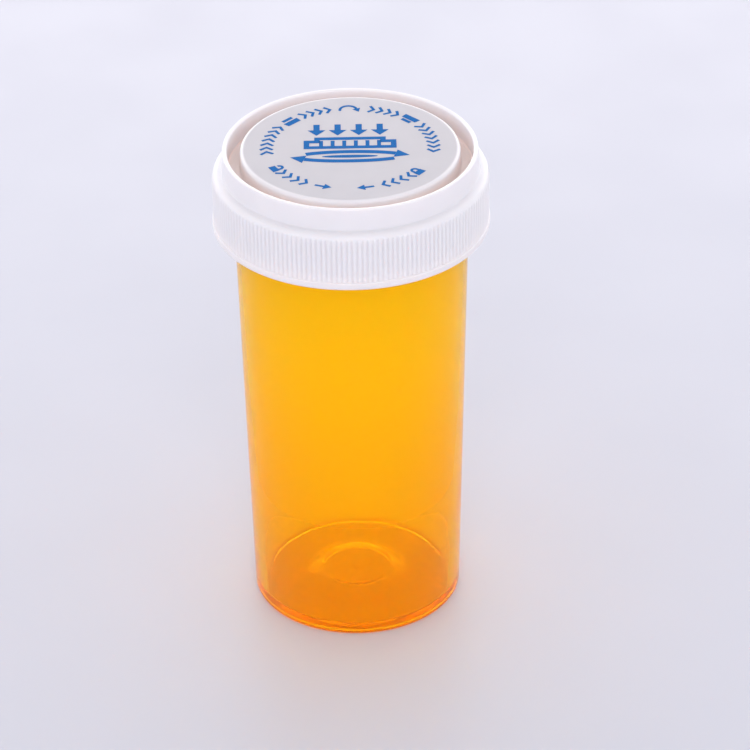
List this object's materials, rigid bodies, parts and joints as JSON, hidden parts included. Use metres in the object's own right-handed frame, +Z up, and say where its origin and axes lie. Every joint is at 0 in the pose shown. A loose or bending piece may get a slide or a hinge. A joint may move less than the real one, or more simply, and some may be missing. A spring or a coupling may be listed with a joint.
{
  "type": "prescription vial",
  "caption": "Tapered translucent amber vial with a white reversible push-and-turn cap, bayonet lugs, an inner spring disc and a foam liner.",
  "frame": {"origin": "middle of the annular foot that the vial stands on", "axes": "+Z up along the vial's axis; X and Y lie in the plane of the foot, with one bayonet lug of the vial centred on +X"},
  "size_m": [0.0422, 0.0422, 0.0786],
  "materials": {
    "amber_pp": "translucent amber polypropylene, glossy",
    "white_pp": "white polypropylene, satin",
    "natural_ldpe": "natural milky polyethylene",
    "white_foam": "white polyethylene foam",
    "blue_ink": "blue pad-printed ink"
  },
  "bodies": {
    "vial": {"vial": "amber_pp"},
    "liner": {"liner_wad": "white_foam"},
    "spring": {"spring_disc": "natural_ldpe"},
    "cap": {"cap": "white_pp"}
  },
  "joints": [
    {"name": "cap_lift", "type": "slide", "parent": "vial", "child": "liner", "axis": [0, 0, 1], "range_m": [0, 0.03]},
    {"name": "cap_press", "type": "slide", "parent": "liner", "child": "spring", "axis": [0, 0, -1], "range_m": [-0.00075, 0.001], "stiffness_N_per_m": 4000, "deforming": ["spring_disc"]},
    {"name": "cap_turn", "type": "hinge", "parent": "spring", "child": "cap", "pos_m": [0, 0, 0.0722], "axis": [0, 0, 1], "range_deg": [-38, 0]}
  ]
}
